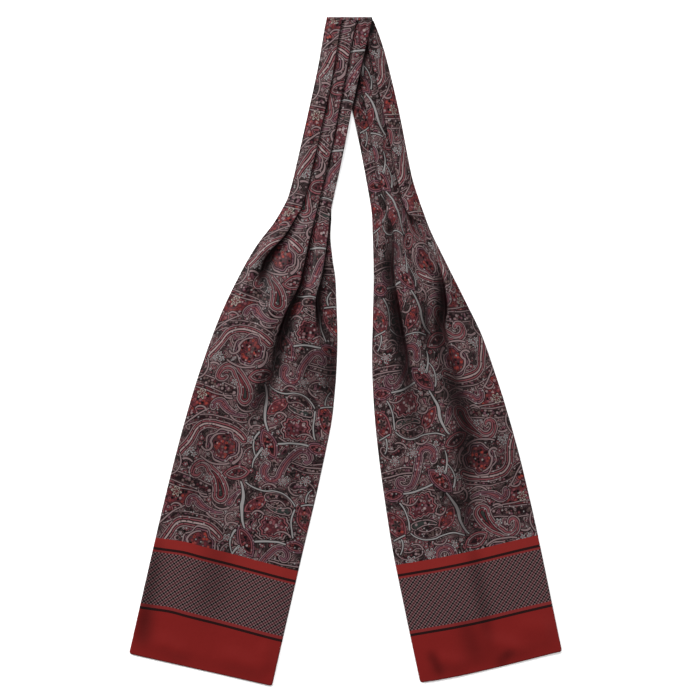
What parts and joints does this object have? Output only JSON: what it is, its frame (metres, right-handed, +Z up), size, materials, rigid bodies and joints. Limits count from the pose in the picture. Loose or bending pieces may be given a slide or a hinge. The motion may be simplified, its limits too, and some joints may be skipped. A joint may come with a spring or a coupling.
{
  "type": "silk cravat",
  "caption": "Pleated-neck silk day cravat laid flat and folded over at the neck, its two wide printed blades side by side below.",
  "frame": {"origin": "middle of the cravat's box, on the surface that it lies on", "axes": "+Y towards the neck fold, +X to the viewer's right, +Z up out of the surface"},
  "size_m": [0.4138, 0.6427, 0.0118],
  "materials": {
    "printed_silk": "satin"
  },
  "bodies": {
    "root": {"left_neck_pleats": "printed_silk", "left_blade_front": "printed_silk", "left_blade_back": "printed_silk", "right_neck_pleats": "printed_silk", "right_blade_front": "printed_silk", "right_blade_back": "printed_silk", "neck_turn": "printed_silk"}
  },
  "joints": []
}
